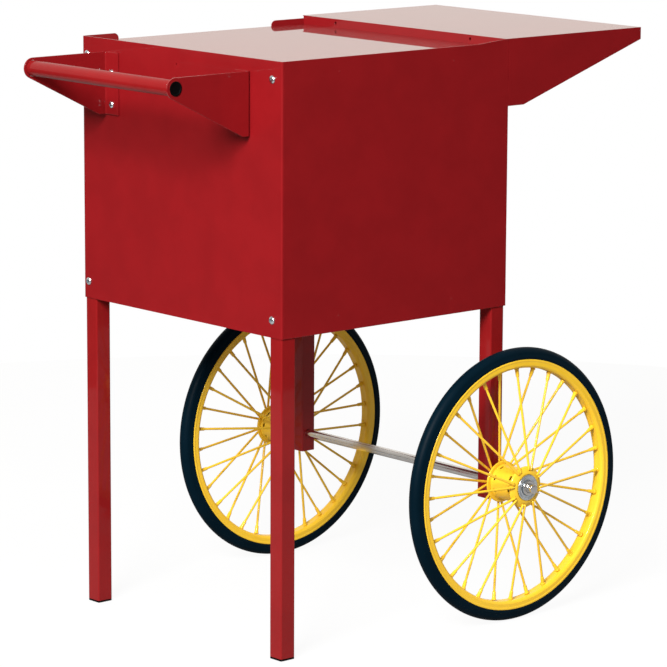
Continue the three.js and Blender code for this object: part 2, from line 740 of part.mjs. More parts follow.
for (const { label, sign } of SIDES) {
  const name = `${label}_wheel`;
  piece(`${name}_tyre`, onWheel(tyreProfile, sign), RUBBER);
  piece(`${name}_rim`, onWheel(rimProfile, sign), YELLOW);
  const { outer, inner } = PAIR_ANGLES[label];
  const slots = [...barrelSlots(sign, 1, outer), ...barrelSlots(sign, -1, inner)];
  const barrel = cut(onWheel(barrelProfile, sign, HUB_SEGMENTS), ...slots);
  piece(`${name}_hub_barrel`, barrel, YELLOW);
  piece(`${name}_outer_spokes`, spokeSet(sign, 1, outer), YELLOW);
  piece(`${name}_inner_spokes`, spokeSet(sign, -1, inner), YELLOW);
  piece(`${name}_outer_bearing`, onWheel(bearingProfile, sign, 24), ZINC);
  piece(`${name}_inner_bearing`, onWheel(flipped(bearingProfile), sign, 24), ZINC);
}

export default root;
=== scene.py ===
import json
import math

import bmesh
import bpy
from mathutils import Matrix, Vector

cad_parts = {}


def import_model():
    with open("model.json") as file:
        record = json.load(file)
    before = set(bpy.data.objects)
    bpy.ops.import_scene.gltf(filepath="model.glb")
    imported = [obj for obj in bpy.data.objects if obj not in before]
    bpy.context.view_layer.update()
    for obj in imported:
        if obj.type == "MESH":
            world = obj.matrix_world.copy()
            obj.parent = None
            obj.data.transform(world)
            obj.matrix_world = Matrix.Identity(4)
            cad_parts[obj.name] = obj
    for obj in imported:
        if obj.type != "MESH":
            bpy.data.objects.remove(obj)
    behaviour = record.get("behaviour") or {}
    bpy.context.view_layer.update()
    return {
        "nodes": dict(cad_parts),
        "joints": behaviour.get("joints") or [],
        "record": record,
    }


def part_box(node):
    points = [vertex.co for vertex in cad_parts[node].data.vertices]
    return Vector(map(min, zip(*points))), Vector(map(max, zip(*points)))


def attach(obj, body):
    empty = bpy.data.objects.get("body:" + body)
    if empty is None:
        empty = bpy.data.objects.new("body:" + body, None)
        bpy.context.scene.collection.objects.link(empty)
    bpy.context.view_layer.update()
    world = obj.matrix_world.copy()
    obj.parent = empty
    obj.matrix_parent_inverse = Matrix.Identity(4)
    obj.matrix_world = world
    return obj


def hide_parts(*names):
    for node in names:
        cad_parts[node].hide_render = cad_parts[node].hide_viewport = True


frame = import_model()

MM = 0.001
nodes = frame["nodes"]
joints = {joint["child"]: joint for joint in frame["joints"]}


# ---------------------------------------------------------------- camera

CAMERA_AZIMUTH = -41.04
CAMERA_ELEVATION = 10.55
CAMERA_ROLL = 0.27
CAMERA_DISTANCE = 6.038
CAMERA_AIM = Vector((0.0107, -0.0076, 0.4569))
CAMERA_LENS = 195.07


def add_camera():
    azimuth = math.radians(CAMERA_AZIMUTH)
    elevation = math.radians(CAMERA_ELEVATION)
    outward = Vector((
        math.sin(azimuth) * math.cos(elevation),
        -math.cos(azimuth) * math.cos(elevation),
        math.sin(elevation),
    ))
    right = Vector((math.cos(azimuth), math.sin(azimuth), 0.0))
    up = outward.cross(right)
    turn = Matrix((right, up, outward)).transposed().to_4x4()
    roll = Matrix.Rotation(math.radians(CAMERA_ROLL), 4, "Z")
    data = bpy.data.cameras.new("camera")
    data.lens = CAMERA_LENS
    data.sensor_width = 36.0
    data.clip_end = 100.0
    camera = bpy.data.objects.new("camera", data)
    camera.matrix_world = Matrix.Translation(CAMERA_AIM + outward * CAMERA_DISTANCE) @ turn @ roll
    bpy.context.scene.collection.objects.link(camera)
    bpy.context.scene.camera = camera


add_camera()


# ---------------------------------------------------------------- materials

class Nodes:
    """A short way to write a shader's nodes."""

    def __init__(self, tree):
        self.tree = tree
        tree.nodes.clear()

    def add(self, kind, **values):
        node = self.tree.nodes.new(kind)
        for key, value in values.items():
            if hasattr(node, key):
                setattr(node, key, value)
            else:
                node.inputs[key.replace("_", " ")].default_value = value
        return node

    def link(self, a, b):
        self.tree.links.new(a, b)


def noise(shader, scale):
    """Noise over object coordinates, as a factor."""
    coordinates = shader.add("ShaderNodeTexCoord")
    texture = shader.add("ShaderNodeTexNoise")
    texture.inputs["Scale"].default_value = scale
    texture.inputs["Detail"].default_value = 3.0
    texture.inputs["Roughness"].default_value = 0.5
    shader.link(coordinates.outputs["Object"], texture.inputs["Vector"])
    return texture.outputs["Fac"]


def ramp(shader, factor, low, high):
    """Colour that runs from low to high over the middle of a factor."""
    node = shader.add("ShaderNodeValToRGB")
    ends = node.color_ramp.elements
    for end, position, colour in ((ends[0], 0.35, low), (ends[1], 0.65, high)):
        end.position = position
        end.color = (*colour, 1.0)
    shader.link(factor, node.inputs["Fac"])
    return node.outputs["Color"]


def spread(shader, factor, low, high):
    """Value that runs from low to high with a factor."""
    node = shader.add("ShaderNodeMapRange")
    node.inputs["To Min"].default_value = low
    node.inputs["To Max"].default_value = high
    shader.link(factor, node.inputs["Value"])
    return node.outputs["Result"]


def bump(shader, height, strength, distance, before=None):
    """Normal for a height, laid over the normal that came before."""
    node = shader.add("ShaderNodeBump")
    node.inputs["Strength"].default_value = strength
    node.inputs["Distance"].default_value = distance
    shader.link(height, node.inputs["Height"])
    if before is not None:
        shader.link(before, node.inputs["Normal"])
    return node.outputs["Normal"]


ROUGHNESS_SCALE = 60.0


def finish_material(name, colours, rough, bumps, colour_scale=18.0, **sockets):
    """Principled material: mottled colour, uneven gloss and layered bump.

    Each bump is a noise scale, a strength and a height in metres.
    """
    material = bpy.data.materials.new(name)
    material.use_nodes = True
    shader = Nodes(material.node_tree)
    output = shader.add("ShaderNodeOutputMaterial")
    principled = shader.add("ShaderNodeBsdfPrincipled")
    shader.link(principled.outputs["BSDF"], output.inputs["Surface"])
    for key, value in sockets.items():
        principled.inputs[key.replace("_", " ")].default_value = value
    colour = ramp(shader, noise(shader, colour_scale), *colours)
    shader.link(colour, principled.inputs["Base Color"])
    roughness = spread(shader, noise(shader, ROUGHNESS_SCALE), *rough)
    shader.link(roughness, principled.inputs["Roughness"])
    normal = None
    for scale, strength, distance in bumps:
        normal = bump(shader, noise(shader, scale), strength, distance, normal)
    shader.link(normal, principled.inputs["Normal"])
    return material


RED = finish_material(
    "red_powder_coat",
    ((0.205, 0.0052, 0.0072), (0.225, 0.0058, 0.0080)),
    (0.42, 0.52),
    ((420.0, 0.04, 0.0005), (9.0, 0.04, 0.004)),
    Specular_IOR_Level=0.08, Coat_Weight=1.0, Coat_Roughness=0.018, Coat_IOR=1.5,
)
RED_TUBE = finish_material(
    "red_tube_coat",
    ((0.208, 0.0060, 0.0070), (0.230, 0.0068, 0.0078)),
    (0.42, 0.52),
    ((420.0, 0.04, 0.0005), (9.0, 0.04, 0.004)),
    Specular_IOR_Level=0.06, Coat_Weight=0.38, Coat_Roughness=0.04, Coat_IOR=1.5,
)
YELLOW = finish_material(
    "yellow_gloss_paint",
    ((0.84, 0.505, 0.024), (0.88, 0.540, 0.029)),
    (0.40, 0.50),
    ((500.0, 0.05, 0.0004),),
    Specular_IOR_Level=0.15, Coat_Weight=0.5, Coat_Roughness=0.10, Coat_IOR=1.45,
)
RUBBER = finish_material(
    "tyre_rubber",
    ((0.0004, 0.0062, 0.0118), (0.0008, 0.0076, 0.0142)),
    (0.40, 0.50),
    ((260.0, 0.08, 0.0008), (30.0, 0.04, 0.002)),
    Specular_IOR_Level=0.035,
)
STEEL = finish_material(
    "bright_steel",
    ((0.70, 0.69, 0.68), (0.80, 0.79, 0.78)),
    (0.13, 0.19),
    ((700.0, 0.02, 0.0001),),
    Metallic=1.0,
)
ZINC = finish_material(
    "bright_zinc",
    ((0.60, 0.66, 0.70), (0.78, 0.83, 0.88)),
    (0.18, 0.30),
    ((900.0, 0.06, 0.0002),),
    colour_scale=120.0, Metallic=1.0,
)
BLACK = finish_material(
    "black_plastic",
    ((0.0008, 0.0008, 0.0010), (0.0014, 0.0014, 0.0017)),
    (0.50, 0.60),
    ((1500.0, 0.12, 0.0002),),
    Specular_IOR_Level=0.05,
)
SLOTS = {
    "red_paint": RED,
    "yellow_paint": YELLOW,
    "tyre_rubber": RUBBER,
    "bright_steel": STEEL,
    "zinc": ZINC,
    "black_plastic": BLACK,
}
SIDES = (("near", -1), ("far", 1))
SLOT_OF_NODE = {row["node"]: row["material_slot"] for row in frame["record"]["subparts"]}
BODY_OF_NODE = {
    node: body
    for body, members in frame["record"]["behaviour"]["bodies"].items()
    for node in members
}


# ---------------------------------------------------------------- mesh helpers

def add_piece(name, bm, body, slot, *stands_for, smooth=35.0, weighted=False):
    """Turns a bmesh into a finished piece on a body."""
    bmesh.ops.remove_doubles(bm, verts=bm.verts, dist=1e-6)
    bmesh.ops.recalc_face_normals(bm, faces=bm.faces)
    mesh = bpy.data.meshes.new(name)
    bm.to_mesh(mesh)
    bm.free()
    mesh.materials.append(SLOTS[slot])
    mesh.shade_smooth()
    mesh.set_sharp_from_angle(angle=math.radians(smooth))
    piece = bpy.data.objects.new(name, mesh)
    bpy.context.scene.collection.objects.link(piece)
    if weighted:
        modifier = piece.modifiers.new("even_normals", "WEIGHTED_NORMAL")
        modifier.keep_sharp = True
    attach(piece, body)
    if stands_for:
        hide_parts(*stands_for)
    return piece


def fillet(points, radius, steps=4, closed=True):
    """The same outline with its corners rounded."""
    rounded = []
    count = len(points)
    for i, point in enumerate(points):
        here = Vector(point)
        if not closed and i in (0, count - 1):
            rounded.append(here)
            continue
        back = Vector(points[i - 1]) - here
        ahead = Vector(points[(i + 1) % count]) - here
        reach = min(radius, 0.45 * back.length, 0.45 * ahead.length)
        start = here + back.normalized() * reach
        end = here + ahead.normalized() * reach
        if back.angle(ahead) > math.radians(170.0):
            rounded.append(here)
            continue
        for step in range(steps + 1):
            t = step / steps
            rounded.append(start * (1 - t) ** 2 + here * 2 * t * (1 - t) + end * t * t)
    return rounded


def lathe(bm, profile, centre, along, segments=96, closed=True):
    """Turns a (radius, height) profile in millimetres about a line through centre."""
    along = along.normalized()
    side = along.orthogonal().normalized()
    other = along.cross(side)
    rings = []
    for i in range(segments):
        angle = 2 * math.pi * i / segments
        outward = side * math.cos(angle) + other * math.sin(angle)
        rings.append([
            bm.verts.new(centre + (outward * r + along * h) * MM) for r, h in profile
        ])
    pairs = list(zip(range(len(profile)), range(1, len(profile))))
    if closed:
        pairs.append((len(profile) - 1, 0))
    for i in range(segments):
        here, there = rings[i], rings[(i + 1) % segments]
        for a, b in pairs:
            on_axis_a = profile[a][0] < 1e-9
            on_axis_b = profile[b][0] < 1e-9
            if on_axis_a and on_axis_b:
                continue
            if on_axis_a:
                bm.faces.new((here[a], here[b], there[b]))
            elif on_axis_b:
                bm.faces.new((here[a], here[b], there[a]))
            else:
                bm.faces.new((here[a], here[b], there[b], there[a]))
    return bm


def sweep(bm, path, radii, segments=12):
    """Round wire along a path, with closed ends. Radii are in millimetres."""
    side = None
    rings = []
    for i, point in enumerate(path):
        ahead = path[min(i + 1, len(path) - 1)] - path[max(i - 1, 0)]
        ahead.normalize()
        side = ahead.orthogonal() if side is None else side - ahead * side.dot(ahead)
        side.normalize()
        other = ahead.cross(side)
        rings.append([
            bm.verts.new(
                point
                + (side * math.cos(2 * math.pi * k / segments)
                   + other * math.sin(2 * math.pi * k / segments)) * radii[i] * MM
            )
            for k in range(segments)
        ])
    for here, there in zip(rings, rings[1:]):
        for k in range(segments):
            following = (k + 1) % segments
            bm.faces.new((here[k], here[following], there[following], there[k]))
    bm.faces.new(list(reversed(rings[0])))
    bm.faces.new(rings[-1])
    return bm


def block(bm, low, high):
    """Plain box between two corners, used as a cutter."""
    for corner in bmesh.ops.create_cube(bm, size=1.0)["verts"]:
        for axis in range(3):
            corner.co[axis] = low[axis] if corner.co[axis] < 0 else high[axis]


def cut_away(bm, cutter):
    """Cuts one bmesh out of another and gives back the rest.

    The cutter's own parts may overlap each other, as the spoke holes do.
    """
    meshes = []
    for part in (bm, cutter):
        bmesh.ops.remove_doubles(part, verts=part.verts, dist=1e-7)
        bmesh.ops.recalc_face_normals(part, faces=part.faces)
        mesh = bpy.data.meshes.new("cut_work")
        part.to_mesh(mesh)
        part.free()
        meshes.append(mesh)
    base, tool = (bpy.data.objects.new("cut_work", mesh) for mesh in meshes)
    for work in (base, tool):
        bpy.context.scene.collection.objects.link(work)
    modifier = base.modifiers.new("cut", "BOOLEAN")
    modifier.operation = "DIFFERENCE"
    modifier.solver = "EXACT"
    modifier.use_self = True
    modifier.object = tool
    bpy.context.view_layer.update()
    evaluated = base.evaluated_get(bpy.context.evaluated_depsgraph_get())
    rest = bmesh.new()
    rest.from_mesh(evaluated.to_mesh())
    for work in (base, tool):
        bpy.data.objects.remove(work)
    for mesh in meshes:
        bpy.data.meshes.remove(mesh)
    return rest


SHARP = math.radians(40.0)


def refine(node, edge, keep=None):
    """A CAD solid with its triangles merged into faces and its sharp edges rounded.

    Edges that keep() picks stay sharp.
    """
    bm = bmesh.new()
    bm.from_mesh(nodes[node].data)
    bmesh.ops.remove_doubles(bm, verts=bm.verts, dist=1e-6)
    bmesh.ops.recalc_face_normals(bm, faces=bm.faces)
    bmesh.ops.dissolve_limit(
        bm, angle_limit=math.radians(1.0), verts=bm.verts[:], edges=bm.edges[:],
    )
    sharp = [
        e for e in bm.edges
        if len(e.link_faces) == 2 and e.calc_face_angle(0.0) > SHARP
        and not (keep and keep(e))
    ]
    bmesh.ops.bevel(
        bm, geom=sharp, offset=edge * MM, offset_type="OFFSET", segments=2,
        profile=0.5, affect="EDGES", clamp_overlap=True,
    )
    return add_piece(
        f"{node}_finished", bm, BODY_OF_NODE[node], SLOT_OF_NODE[node], node,
        smooth=50.0, weighted=True,
    )


# ---------------------------------------------------------------- cabinet, legs and shelf

SHEET_EDGE = 0.45
TUBE_EDGE = 0.4
CAP_EDGE = 0.6

tube_low, tube_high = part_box("handle_tube")
TUBE_R = (tube_high.x - tube_low.x) / 2 / MM
TUBE_WALL = 1.6
tube_centre = (tube_low + tube_high) / 2


def round_tube(edge):
    """True for an edge of a bracket's tube hole."""
    return all(
        math.hypot(v.co.x - tube_centre.x, v.co.z - tube_centre.z) < (TUBE_R + 1.0) * MM
        for v in edge.verts
    )


for node_name in (
    "handle_end_panel", "shelf_end_panel", "near_side_panel", "far_side_panel",
    "top_deck", "floor_pan", "side_shelf",
):
    refine(node_name, SHEET_EDGE)
for label, _ in SIDES:
    refine(f"{label}_handle_bracket", SHEET_EDGE, keep=round_tube)
for label, _ in SIDES:
    for leg in ("long", "short"):
        refine(f"{label}_{leg}_leg", TUBE_EDGE).data.materials[0] = RED_TUBE
    refine(f"{label}_foot_cap", CAP_EDGE)
    for level in ("lower", "upper"):
        refine(f"{label}_{level}_shelf_bolt", TUBE_EDGE)

WELD_R = 3.4
WELD_HEIGHT = 0.35
WELD_X = (-0.194, 0.049)
WELD_ABOVE_FOOT = 0.0265
WELD_BELOW_TOP = 0.0280
near_low, near_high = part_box("near_side_panel")


def weld_marks():
    """Faint spot-weld marks where the deck and the floor meet the panels."""
    profile = fillet([(0, 0), (0, WELD_HEIGHT), (WELD_R, -0.2)], 1.2, closed=False)
    side = bmesh.new()
    for x in WELD_X:
        for z in (near_low.z + WELD_ABOVE_FOOT, near_high.z - WELD_BELOW_TOP):
            place = Vector((x, near_low.y, z))
            lathe(side, profile, place, Vector((0, -1, 0)), 20, closed=False)
    add_piece("near_side_weld_marks", side, "cart", "red_paint")


weld_marks()


# ---------------------------------------------------------------- push handle

tube_half = (tube_high.y - tube_low.y) / 2 / MM


def handle_tube():
    """The push handle's tube and the plug in each end."""
    bm = bmesh.new()
    outline = [
        (TUBE_R - TUBE_WALL, -tube_half),
        (TUBE_R, -tube_half),
        (TUBE_R, tube_half),
        (TUBE_R - TUBE_WALL, tube_half),
    ]
    lathe(bm, fillet(outline, 0.6, 3), tube_centre, Vector((0, 1, 0)), 64)
    tube = add_piece("handle_tube_finished", bm, "cart", "red_paint", "handle_tube")
    tube.data.materials[0] = RED_TUBE
    for label, sign in SIDES:
        low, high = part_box(f"{label}_handle_plug")
        centre = (low + high) / 2
        centre.y = low.y if sign < 0 else high.y
        reach = (high.y - low.y) / MM
        stem = TUBE_R - TUBE_WALL - 0.4
        head = (high.x - low.x) / 2 / MM
        profile = [
            (0, -1.6), (head - 3.2, -1.3), (head - 1.8, -0.1), (head - 0.6, 0),
            (head, -0.4), (head, -0.9), (stem, -0.9), (stem, -reach), (0, -reach),
        ]
        plug = bmesh.new()
        lathe(plug, fillet(profile, 0.5, 3, closed=False), centre, Vector((0, sign, 0)), 48,
              closed=False)
        add_piece(f"{label}_handle_plug_finished", plug, "cart", "black_plastic",
                  f"{label}_handle_plug")


handle_tube()


# ---------------------------------------------------------------- screws

SCREW_STEM_R = 2.0
CROSS_ARM = 0.46
CROSS_HALF_WIDTH = 0.62
CROSS_DEPTH = 1.9


def pan_screw(node):
    """Pan-head screw with a cross recess cut as two straight slots, facing -X."""
    low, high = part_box(node)
    head = (high.y - low.y) / 2 / MM
    length = (high.x - low.x) / MM
    centre = Vector((low.x, (low.y + high.y) / 2, (low.z + high.z) / 2))
    profile = [
        (0, 0), (head * 0.42, 0.12), (head * 0.76, 0.75), (head * 0.97, 2.0), (head, 2.7),
        (head - 0.1, 3.2), (SCREW_STEM_R, 3.2), (SCREW_STEM_R, length - 0.5),
        (SCREW_STEM_R - 0.6, length), (0, length),
    ]
    body = lathe(bmesh.new(), fillet(profile, 0.35, 3, closed=False), centre,
                 Vector((1, 0, 0)), 48, closed=False)
    arm = head * CROSS_ARM * MM
    half = CROSS_HALF_WIDTH * MM
    deep = low.x + CROSS_DEPTH * MM
    cross = bmesh.new()
    block(cross, (low.x - MM, centre.y - arm, centre.z - half),
          (deep, centre.y + arm, centre.z + half))
    upright = bmesh.new()
    block(upright, (low.x - MM, centre.y - half, centre.z - arm),
          (deep, centre.y + half, centre.z + arm))
    body = cut_away(cut_away(body, cross), upright)
    add_piece(f"{node}_finished", body, "cart", "zinc", node, smooth=30.0)


for label, _ in SIDES:
    for level in ("lower", "upper"):
        pan_screw(f"{label}_{level}_panel_screw")
        pan_screw(f"{label}_{level}_bracket_screw")


# ---------------------------------------------------------------- axle and its hardware

axle_low, axle_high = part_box("axle")
AXLE_R = (axle_high.x - axle_low.x) / 2 / MM
AXLE_HALF = (axle_high.y - axle_low.y) / 2 / MM
axle_centre = (axle_low + axle_high) / 2
PIN_TILT = math.radians(-35.0)
PIN_INSET = 5.0
PIN_WIRE_R = 0.72
PIN_EYE_R = 2.6
PIN_EYE_AT = -11.2
PIN_AXIS = Vector((math.cos(PIN_TILT), 0, math.sin(PIN_TILT)))


def axle():
    """Plain round bar with rounded ends."""
    bm = bmesh.new()
    outline = [(0, -AXLE_HALF), (AXLE_R, -AXLE_HALF), (AXLE_R, AXLE_HALF), (0, AXLE_HALF)]
    lathe(bm, fillet(outline, 1.4, 4, closed=False), axle_centre, Vector((0, 1, 0)), 48,
          closed=False)
    add_piece("axle_finished", bm, "cart", "bright_steel", "axle")


def turned_ring(node):
    """Washer or spacer with rounded rims."""
    low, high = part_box(node)
    outer = (high.x - low.x) / 2 / MM
    half = (high.y - low.y) / 2 / MM
    inner = AXLE_R + 0.3
    outline = [(inner, -half), (outer, -half), (outer, half), (inner, half)]
    bm = lathe(bmesh.new(), fillet(outline, 0.4, 3), (low + high) / 2, Vector((0, 1, 0)), 64)
    add_piece(f"{node}_finished", bm, "cart", "bright_steel", node)


def split_pin(label, sign):
    """Split pin bent from one wire: leg, eye, leg, with the legs spread outside the axle."""
    node = f"{label}_split_pin"
    out = Vector((0, sign, 0))
    centre = Vector((axle_centre.x, sign * (AXLE_HALF - PIN_INSET) * MM, axle_centre.z))

    def point(along, aside):
        return centre + (PIN_AXIS * along + out * aside) * MM

    wire = PIN_WIRE_R
    path = [point(16.6, 3.2), point(14.2, 2.2), point(11.2, 1.1), point(9.2, wire)]
    path += [point(a, wire) for a in (4.0, 0.0, -4.0, -8.0)]
    for step in range(15):
        angle = math.radians(-75.0 + 150.0 * step / 14)
        turn = math.pi / 2 - angle * 1.45
        across = PIN_EYE_R * math.cos(turn)
        path.append(point(PIN_EYE_AT - PIN_EYE_R * math.sin(turn), across))
    path += [point(a, -wire) for a in (-8.0, -4.0, 0.0, 4.0, 8.0)]
    path += [point(10.8, -0.95), point(13.0, -1.6), point(15.4, -2.3)]
    bm = sweep(bmesh.new(), path, [wire] * len(path), 10)
    add_piece(f"{node}_finished", bm, "cart", "bright_steel", node, smooth=60.0)


axle()
for label, sign in SIDES:
    turned_ring(f"{label}_axle_spacer")
    turned_ring(f"{label}_axle_washer")
    split_pin(label, sign)


# ---------------------------------------------------------------- wheels

PAIRS = 8
SPOKE_STEP = 11.25
HUB_SPREAD = 4.6
PAIR_ANGLES = {
    ("near", 1): 32.75, ("near", -1): 44.0,
    ("far", 1): 16.0, ("far", -1): 27.25,
}
SPOKE_R = 2.05
NIPPLE = (
    (15.0, 1.0), (14.6, 1.25), (13.6, 1.42), (3.0, 1.62), (2.4, 2.0), (1.0, 2.05), (0.3, 1.95),
)
HOLE_R = 30.2
SPOKE_HOLE_R = 2.5
SLOT_MIDDLE = 17.0
SLOT_HALF_WIDTH = 2.4
SLOT_HALF_LENGTH = 4.4


class Wheel:
    """One wheel's axis and the measures read from its CAD solids."""

    def __init__(self, label, sign):
        self.label = label
        self.body = f"{label}_wheel"
        self.centre = Vector(joints[self.body]["pos_m"])
        self.out = Vector((0, sign, 0))
        self.tyre_r = self.radius("tyre")
        self.half = self.width("tyre") / 2
        self.rim_r = self.radius("rim")
        self.barrel_r = self.radius("hub_barrel")
        self.barrel_half = self.width("hub_barrel") / 2
        self.bearing_r = self.radius("outer_bearing")

    def radius(self, part):
        low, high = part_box(f"{self.body}_{part}")
        return (high.z - low.z) / 2 / MM

    def width(self, part):
        low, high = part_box(f"{self.body}_{part}")
        return (high.y - low.y) / MM

    def at(self, r, degrees, w):
        angle = math.radians(degrees)
        across = Vector((math.cos(angle), 0, math.sin(angle)))
        return self.centre + (across * r + self.out * w) * MM

    def turned(self, name, profile, slot, *stands_for, segments=160, smooth=35.0):
        bm = lathe(bmesh.new(), profile, self.centre, self.out, segments)
        return add_piece(f"{self.body}_{name}", bm, self.body, slot, *stands_for, smooth=smooth)

    def tyre(self):
        """Solid tyre: round tread, a fine moulding rib each side and a foot in the rim channel."""
        centre_r = self.tyre_r - self.half
        foot = self.half - 2.3
        bead = self.rim_r + 0.3
        crown = []
        for step in range(33):
            angle = math.radians(-90.0 + 180.0 * step / 32)
            crown.append((centre_r + self.half * math.cos(angle), self.half * math.sin(angle)))
        rib = 0.35
        inner = [
            (bead + 1.2, 0.25), (bead + 2.6, 0.0), (bead + 3.1, rib), (bead + 3.7, rib),
            (bead + 4.2, 0.0),
        ]
        left = [(r, -(self.half - 0.35 + extra)) for r, extra in inner]
        right = [(r, self.half - 0.35 + extra) for r, extra in reversed(inner)]
        profile = (
            [(self.rim_r - 12.2, -foot), (bead, -foot), (bead, -self.half + 1.0)]
            + left + crown[3:-3] + right
            + [(bead, self.half - 1.0), (bead, foot), (self.rim_r - 12.2, foot)]
        )
        self.turned("tyre_finished", profile, "tyre_rubber", f"{self.body}_tyre", segments=192)

    def rim(self):
        """Rolled channel rim with a bead at each edge and a shallow well inside."""
        half = self.half
        deep = self.rim_r - 14.5
        outline = [
            (self.rim_r, -half + 2.0), (deep + 2.0, -half + 2.0), (deep + 2.0, half - 2.0),
            (self.rim_r, half - 2.0), (self.rim_r, half), (self.rim_r - 3.0, half),
            (self.rim_r - 4.2, half - 0.5), (deep + 4.2, half - 0.2), (deep + 1.0, half - 2.2),
            (deep, half - 5.4), (deep + 0.5, 1.8), (deep + 0.5, -1.8), (deep, -half + 5.4),
            (deep + 1.0, -half + 2.2), (deep + 4.2, -half + 0.2), (self.rim_r - 4.2, -half + 0.5),
            (self.rim_r - 3.0, -half), (self.rim_r, -half),
        ]
        self.turned("rim_finished", fillet(outline, 0.9, 3), "yellow_paint", f"{self.body}_rim",
                    segments=192)

    def barrel(self):
        """Hub barrel, a little waisted, with a ring of slots beside each flange."""
        r, half = self.barrel_r, self.barrel_half
        outline = [
            (r - 2.5, -half), (r, -half), (r, -half + 3.0), (r - 0.8, -half + 5.0),
            (r - 0.8, half - 5.0), (r, half - 3.0), (r, half), (r - 2.5, half),
        ]
        bm = lathe(bmesh.new(), fillet(outline, 0.9, 3), self.centre, self.out, 96)
        slots = bmesh.new()
        for side in (1, -1):
            middle = PAIR_ANGLES[(self.label, side)] + 180.0 / PAIRS
            for i in range(PAIRS):
                self.slot(slots, middle + 360.0 / PAIRS * i, side * SLOT_MIDDLE)
        bm = cut_away(bm, slots)
        add_piece(f"{self.body}_hub_barrel_finished", bm, self.body, "yellow_paint",
                  f"{self.body}_hub_barrel", smooth=40.0)

    def slot(self, bm, degrees, w):
        """Cutter for one round-ended slot through the barrel wall."""
        angle = math.radians(degrees)
        outward = Vector((math.cos(angle), 0, math.sin(angle)))
        around = self.out.cross(outward)
        outline = []
        straight = SLOT_HALF_LENGTH - SLOT_HALF_WIDTH
        for end in (1, -1):
            for step in range(9):
                turn = math.radians(-90.0 + 22.5 * step)
                along = end * (straight + SLOT_HALF_WIDTH * math.cos(turn))
                across = end * SLOT_HALF_WIDTH * math.sin(turn)
                outline.append((along, across))
        rings = []
        for depth in (self.barrel_r - 6.0, self.barrel_r + 3.0):
            base = self.centre + (outward * depth + self.out * w) * MM
            rings.append([
                bm.verts.new(base + (around * along + self.out * across) * MM)
                for along, across in outline
            ])
        count = len(outline)
        for i in range(count):
            j = (i + 1) % count
            bm.faces.new((rings[0][i], rings[0][j], rings[1][j], rings[1][i]))
        bm.faces.new(list(reversed(rings[0])))
        bm.faces.new(rings[1])

    def flange(self, side, part):
        """Domed hub flange with a hole for each spoke."""
        base = self.barrel_half + 0.3
        outline = [
            (self.bearing_r + 0.3, base), (34.2, base), (34.8, base + 2.0), (33.6, base + 4.0),
            (30.5, base + 5.9), (25.5, base + 8.0), (self.bearing_r + 1.0, base + 8.3),
            (self.bearing_r + 0.3, base + 7.6),
        ]
        profile = [(r, side * w) for r, w in fillet(outline, 1.3, 3)]
        bm = lathe(bmesh.new(), profile, self.centre, self.out, 96)
        holes = bmesh.new()
        for angle, _ in self.spoke_angles(side):
            drill = [(0, 2.6), (SPOKE_HOLE_R, 2.6), (SPOKE_HOLE_R, 12.0), (0, 12.0)]
            place = self.at(HOLE_R - 0.6, angle, side * base)
            lathe(holes, drill, place, self.out * side, 16, closed=False)
        bm = cut_away(bm, holes)
        add_piece(f"{self.body}_{part}_flange", bm, self.body, "yellow_paint",
                  f"{self.body}_{part}_spokes", smooth=32.0)

    def spoke_angles(self, side):
        middle = PAIR_ANGLES[(self.label, side)]
        for i in range(PAIRS):
            for lean in (-1, 1):
                pair = middle + 360.0 / PAIRS * i
                yield pair + lean * HUB_SPREAD, pair + lean * SPOKE_STEP

    def spokes(self, side, part):
        """Sixteen spokes hooked into the flange, each with a tapered nipple at the rim."""
        top = self.barrel_half + 0.3 + 6.0
        end_r = self.rim_r - 14.5
        bm = bmesh.new()
        for hub_at, rim_at in self.spoke_angles(side):
            rim_end = self.at(end_r - 0.2, rim_at, 0.0)
            elbow = self.at(HOLE_R + 0.8, hub_at, side * (top + 0.9))
            sunk = self.at(HOLE_R - 0.9, hub_at, side * (top - 2.2))
            turn_a = self.at(HOLE_R - 0.75, hub_at, side * (top - 0.3))
            turn_b = self.at(HOLE_R - 0.2, hub_at, side * (top + 0.6))
            run = rim_end - elbow
            unit = run.normalized()
            length = run.length / MM
            path = [sunk, turn_a, turn_b, elbow]
            path += [elbow + unit * (d * MM) for d in (2.0, length * 0.5)]
            radii = [SPOKE_R] * len(path)
            for from_end, times in NIPPLE:
                path.append(elbow + unit * ((length - from_end) * MM))
                radii.append(SPOKE_R * times)
            sweep(bm, path, radii, 12)
        add_piece(f"{self.body}_{part}_spoke_wires", bm, self.body, "yellow_paint",
                  f"{self.body}_{part}_spokes", smooth=40.0)

    def bearing(self, side, part):
        """Pressed bearing cup: outer race, dished seal and raised inner race."""
        base = self.barrel_half + 0.3
        r = self.bearing_r
        outline = [
            (AXLE_R + 0.3, base - 3.0), (r, base - 3.0), (r, base + 9.0), (r - 0.6, base + 9.8),
            (r - 3.2, base + 9.8), (r - 3.8, base + 8.9), (r - 5.2, base + 8.5),
            (r - 6.0, base + 9.1), (r - 8.4, base + 9.1), (r - 9.2, base + 8.3),
            (r - 10.6, base + 8.5), (r - 11.0, base + 10.2), (AXLE_R + 0.9, base + 10.4),
            (AXLE_R + 0.3, base + 9.8),
        ]
        profile = [(radius, side * w) for radius, w in fillet(outline, 0.4, 3)]
        self.turned(f"{part}_bearing_finished", profile, "zinc", f"{self.body}_{part}_bearing",
                    segments=96, smooth=30.0)

    def build(self):
        self.tyre()
        self.rim()
        self.barrel()
        for side, part in ((1, "outer"), (-1, "inner")):
            self.flange(side, part)
            self.spokes(side, part)
            self.bearing(side, part)


for label, sign in SIDES:
    Wheel(label, sign).build()

for node_name, node in nodes.items():
    node.data.materials.clear()
    node.data.materials.append(SLOTS[SLOT_OF_NODE[node_name]])


# ---------------------------------------------------------------- floor, light and world

